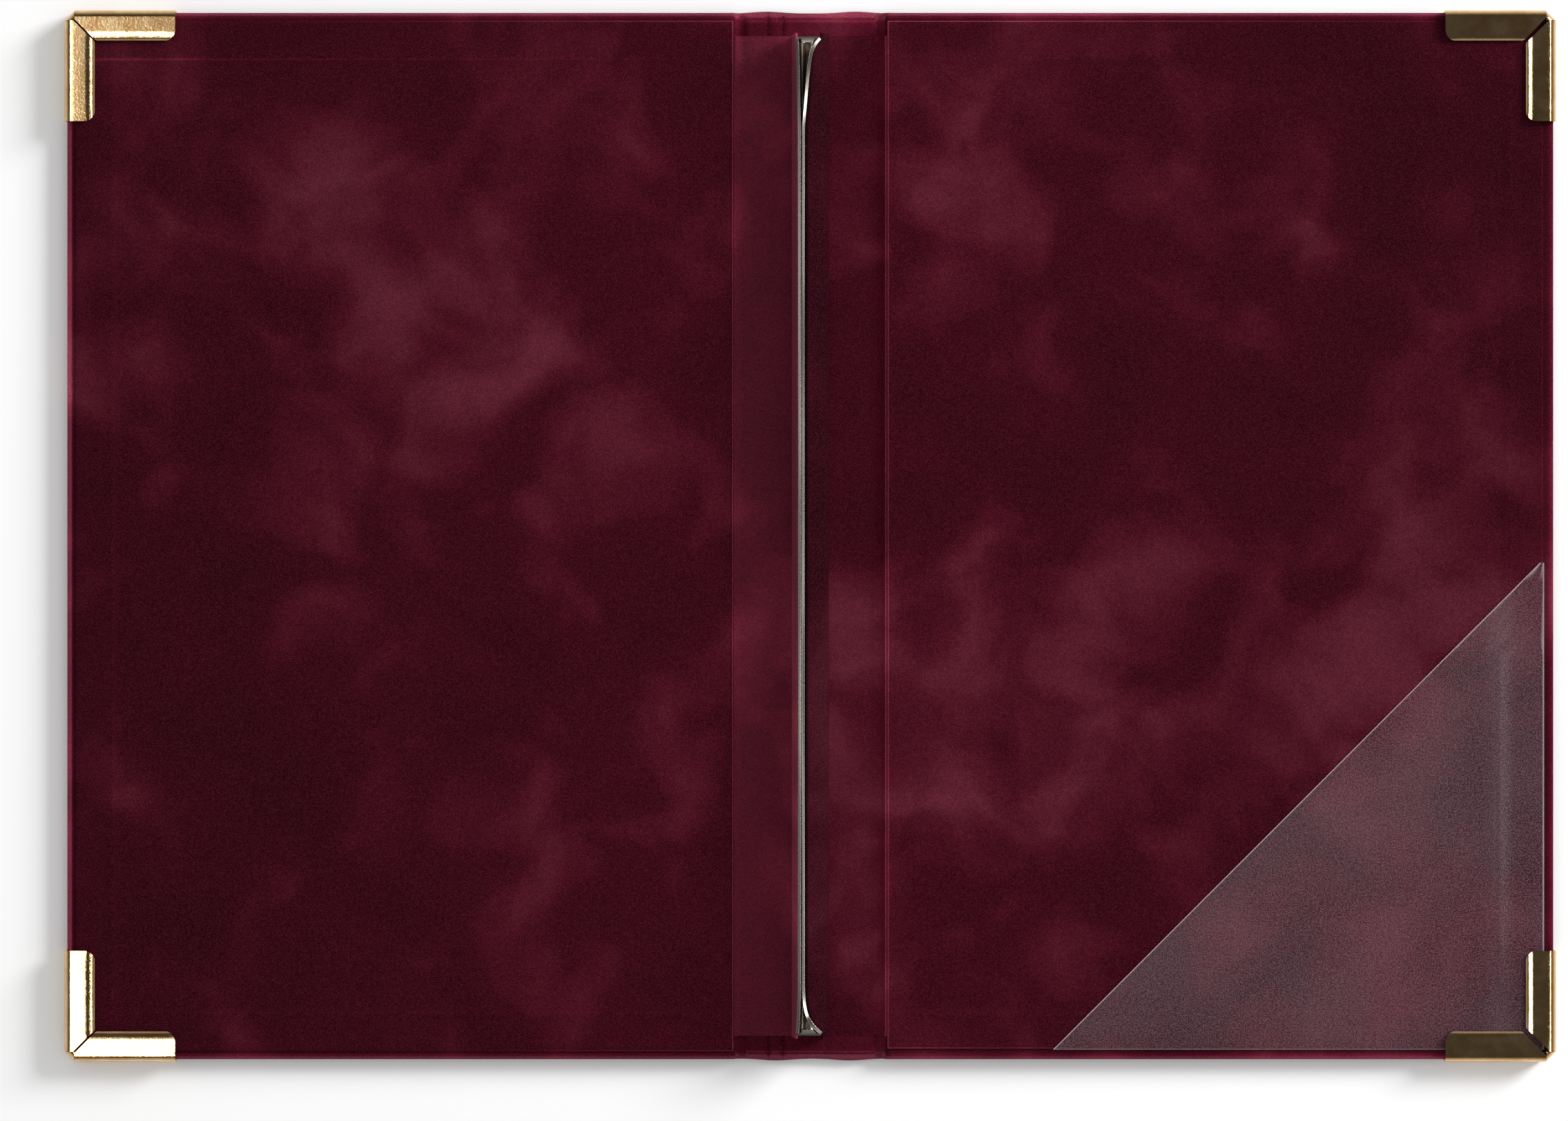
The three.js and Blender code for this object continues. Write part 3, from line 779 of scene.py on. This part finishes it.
def corner_leg(slit):
    """One flap with its foot; the slit gives half the gap between the flaps at the tip and inside."""
    top = BRASS_TOP - BRASS / 2
    flap = [
        (1.9, top + 0.005),
        (2.9, top),
        (4.2, top - 0.005),
        (4.7, top - 0.02),
        (4.95, top - 0.06),
        (5.2, top - 0.13),
        (5.65, top - 0.27),
        (5.85, top - 0.35),
        (6.05, top - 0.46),
        (FLAP_WIDTH, top - 0.62),
    ]
    section = corner_section(flap)
    rows = [[(x, y, z) for x, z in section] for y in (-BRASS_OUT, 2, 6, 10, 16, 21, CORNER_LEG)]
    bm = swept(rows)
    # The two flaps part in a slit that opens from the tip inwards
    near, far = slit
    run = FLAP_WIDTH - SLIT_START
    cut(bm, (SLIT_START, SLIT_START + near, 0), (run + far - near, -run, 0))
    cut(bm, (0, LEG_START, 0), (0, -1, 0))
    end_round = 2.2
    round_off(bm, (FLAP_WIDTH - end_round, CORNER_LEG - end_round), end_round, 10, 80)
    slit_round = 1.3
    inside = FLAP_WIDTH - slit_round
    round_off(bm, (inside, inside + far + slit_round * math.sqrt(2)), slit_round, 0, -45)
    return bm


def corner_tip():
    """The clipped tip: a short wall across the corner, rolled over into a knob between the flaps."""
    top = BRASS_TOP - BRASS / 2
    flap = [(1.5, top + 0.1), (1.85, top + 0.06), (2.2, top - 0.08), (2.5, top - 0.3)]
    section = corner_section(flap)
    rows = [[(x, y, z - 0.08 * abs(y) ** 2 * (z > 3)) for x, z in section] for y in between(-1.75, 1.75, 10)]
    bm = swept(rows)
    turn = Matrix.Rotation(math.radians(45), 4, "Z")
    bmesh.ops.transform(bm, matrix=turn, verts=bm.verts)
    move = TIP_CLIP / 2 + BRASS_OUT / math.sqrt(2)
    bmesh.ops.translate(bm, vec=(move, move, 0), verts=bm.verts)
    wall = BRASS / 2 - BRASS_OUT
    cut(bm, (wall, 0, 0), (-1, 0, 0))
    cut(bm, (0, wall, 0), (0, -1, 0))
    cut(bm, (TIP_END, 0, 0), (1, 0, 0))
    cut(bm, (0, TIP_END, 0), (0, 1, 0))
    return bm


def joined(bm, other, matrix=None):
    """Adds a bmesh to another, through a mesh that isn't kept."""
    if matrix is not None:
        bmesh.ops.transform(other, matrix=matrix, verts=other.verts)
    bmesh.ops.recalc_face_normals(other, faces=other.faces)
    carried = bpy.data.meshes.new("carried")
    other.to_mesh(carried)
    other.free()
    bm.from_mesh(carried)
    bpy.data.meshes.remove(carried)


def corner_plate(bm):
    """The flat plate on the outside of the cover."""
    half = BRASS / 2
    low = 0.35
    reach = 2.2
    points = [
        (TIP_CLIP - low, low),
        (CORNER_LEG, low),
        (CORNER_LEG, reach),
        (reach, CORNER_LEG),
        (low, CORNER_LEG),
        (low, TIP_CLIP - low),
    ]
    ring = chain_of(bm, [(x, y, half) for x, y in points])
    bm.edges.new((ring[-1], ring[0]))
    bmesh.ops.contextual_create(bm, geom=ring)
    far = [v for v in ring if place_key(v.co)[:2] in ((CORNER_LEG, reach), (reach, CORNER_LEG))]
    bmesh.ops.bevel(bm, geom=far, offset=1.2, segments=4, profile=0.5, affect="VERTICES", material=-1)


# The flaps meet more or less closely: half the gap at the tip and inside
SLITS = {
    ("front", "head"): (0.1, 0.3),
    ("front", "tail"): (0.1, 0.35),
    ("back", "head"): (0.35, 0.6),
    ("back", "tail"): (0.5, 0.85),
}


def brass_corner(name, side, end, slit):
    """A plate, a leg, its mirror image and the tip, moved to a corner of a cover."""
    bm = bmesh.new()
    corner_plate(bm)
    joined(bm, corner_leg(slit))
    swap = Matrix(((0, 1, 0, 0), (1, 0, 0, 0), (0, 0, 1, 0), (0, 0, 0, 1)))
    joined(bm, corner_leg(slit), swap)
    joined(bm, corner_tip())
    flip = Matrix.Diagonal((-side, -end, 1, 1))
    bmesh.ops.transform(bm, matrix=flip, verts=bm.verts)
    bmesh.ops.translate(bm, vec=(side * FORE, end * HEAD, 0), verts=bm.verts)
    made = piece(name, bm, brass, 50)
    thicken(made, BRASS, 0)
    soften(made, 0.1)
    return made


for side, name in SIDES:
    for end, place_name in ((1, "head"), (-1, "tail")):
        slit = SLITS[name, place_name]
        corner = brass_corner(f"brass_corner_{name}_{place_name}", side, end, slit)
        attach(corner, name + "_cover")
        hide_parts(f"corner_{name}_{place_name}")


# Clear pocket over the back cover's lower outer corner
def pocket():
    """A triangle of film over the corner, tucked down beside the lining along its two outer edges."""
    x = FORE - POCKET_MARGIN + 0.05 + FILM / 2
    y = -HEAD + POCKET_MARGIN - 0.05 - FILM / 2
    high = LINING_TOP + 0.2
    rows = []
    for level in [LINING_BOTTOM + 0.1, high - 0.12, high - 0.03]:
        inset = 0.0 if level < high - 0.05 else 0.05
        rows.append(pocket_row(x, y + inset, y + inset, level))
    for up in between(0.15, POCKET_LEG - 0.8, 26):
        rows.append(pocket_row(x, y, y + up, high))
    made = piece("pocket_film", swept(rows), film, 60)
    edge_highlight = made.data.attributes.new("edge_highlight", "FLOAT", "POINT")
    slope = x - POCKET_LEG - y

    # Painted highlights: a bright line along the open cut edge, fainter ones on the folded edges
    def shine_at(co):
        cut_line = 0.6 * max(1 - abs(co.x - co.y - slope) / 0.3, 0)
        return max(cut_line, 0.3 * (co.x > x - 0.2), 0.2 * (co.y < y + 0.1))

    edge_highlight.data.foreach_set("value", [shine_at(v.co / MM) for v in made.data.vertices])
    thicken(made, FILM, 0)
    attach(made, "back_cover")
    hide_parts("corner_pocket")


def pocket_row(x, base, y, z):
    """One row of the film from its open edge to its folded fore edge."""
    width = POCKET_LEG - (y - base)
    wave = 0.035 * math.sin(y * 0.11) * smooth(width / 30)
    row = []
    steps = [width, width * 0.99] + between(width * 0.97, 0, 23)
    if width > 20:
        steps = [width, width - 0.35] + between(width - 0.7, 16, 11)
        steps += [14, 12.4, 11.8, 11.2, 10.4, 9.8, 9.2, 8.6, 7, 3, 0.35, 0]
    for inward in steps:
        across = x - inward
        crease = 0.35 * math.exp(-(((across - FILM_CREASE_AT) / 1.3) ** 2)) * smooth((y + HEAD - 14) / 20)
        row.append((across, y, z + wave * math.sin(across * 0.09 + 1.2) + crease * smooth(width / 12)))
    row[-1] = (x - 0.05, y, z - 0.03)
    row.append((x, y, min(z, LINING_TOP + 0.1) - 0.05))
    row.append((x, y, LINING_BOTTOM + 0.1))
    return row


pocket()

# What the covers hide still has its own finish
for node_name, material in (
    ("front_board", greyboard),
    ("back_board", greyboard),
    ("front_infill_card", card),
    ("back_infill_card", card),
    ("spine_card", card),
    ("lever_strip_front", lever_board),
    ("lever_strip_back", lever_board),
):
    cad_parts[node_name].data.materials.clear()
    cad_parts[node_name].data.materials.append(material)


# Floor, light and camera
def pale_floor():
    # Seamless white photo table, matt
    material, tree, shader = start("pale_table")
    # The camera sees it a little lighter than the folder does, so that it reads as white
    path = add(tree, "ShaderNodeLightPath").outputs
    mirrored = add(
        tree, "ShaderNodeMath", {0: path["Is Glossy Ray"], 1: path["Is Transmission Ray"]}, operation="ADD"
    ).outputs["Value"]
    seen = add(
        tree, "ShaderNodeMath", {0: path["Is Camera Ray"], 1: mirrored}, operation="ADD"
    ).outputs["Value"]
    tone = add(tree, "ShaderNodeMapRange", {"Value": seen, "To Min": 0.8}).outputs["Result"]
    tree.links.new(tone, shader.inputs["Base Color"])
    shader.inputs["Roughness"].default_value = 1.0
    shader.inputs["Specular IOR Level"].default_value = 0.0
    bm = bmesh.new()
    bmesh.ops.create_grid(bm, x_segments=1, y_segments=1, size=3000)
    bmesh.ops.translate(bm, vec=(0, 0, -0.1), verts=bm.verts)
    floor = piece("table_top", bm, material)


def soft_lamp(name, place, aim, size, watts, mirrored_only=False):
    data = bpy.data.lights.new(name, "AREA")
    data.shape = "RECTANGLE"
    data.size, data.size_y = size
    data.energy = watts
    lamp = bpy.data.objects.new(name, data)
    bpy.context.scene.collection.objects.link(lamp)
    lamp.location = place
    lamp.visible_diffuse = not mirrored_only
    lamp.rotation_euler = (Vector(aim) - Vector(place)).to_track_quat("-Z", "Y").to_euler()


pale_floor()
soft_lamp("key", (1.95, 1.15, 1.0), (0, 0, 0), (0.9, 0.9), 69)
soft_lamp("left_panel", (-0.58, -0.27, 1.35), (-0.58, -0.27, 0), (0.27, 1.45), 8, mirrored_only=True)
soft_lamp("low_panel", (-0.35, -0.3, 1.35), (-0.35, -0.3, 0), (0.2, 0.75), 3.2, mirrored_only=True)
soft_lamp("head_panel", (-0.35, 0.28, 1.35), (-0.35, 0.28, 0), (0.2, 0.36), 0.17, mirrored_only=True)
soft_lamp("right_strip", (0.72, -0.05, 1.3), (0.72, -0.05, 0), (0.22, 1.0), 5, mirrored_only=True)

# The room gives half of the light. In polished metal its ceiling is dark and its walls are pale
world = bpy.data.worlds.new("studio")
bpy.context.scene.world = world
world.use_nodes = True
room = world.node_tree
glossy = add(room, "ShaderNodeLightPath").outputs["Is Glossy Ray"]
way = add(room, "ShaderNodeTexCoord").outputs["Generated"]
up = add(room, "ShaderNodeSeparateXYZ", {"Vector": way}).outputs["Z"]
wall = add(
    room,
    "ShaderNodeMapRange",
    {"Value": up, "From Min": 0.75, "From Max": 0.25, "To Min": 0.07, "To Max": 0.6},
).outputs["Result"]
level = add(room, "ShaderNodeMix", {0: glossy, 2: 0.6, 3: wall}, data_type="FLOAT").outputs[0]
room.nodes["Background"].inputs["Color"].default_value = (1, 1, 1, 1)
room.links.new(level, room.nodes["Background"].inputs["Strength"])

camera_data = bpy.data.cameras.new("camera")
camera_data.lens = 133
camera_data.sensor_width = 36
camera = bpy.data.objects.new("camera", camera_data)
bpy.context.scene.collection.objects.link(camera)
camera.location = (-0.0059, -0.0055, 1.304)
bpy.context.scene.camera = camera
bpy.context.scene.view_settings.view_transform = "Standard"
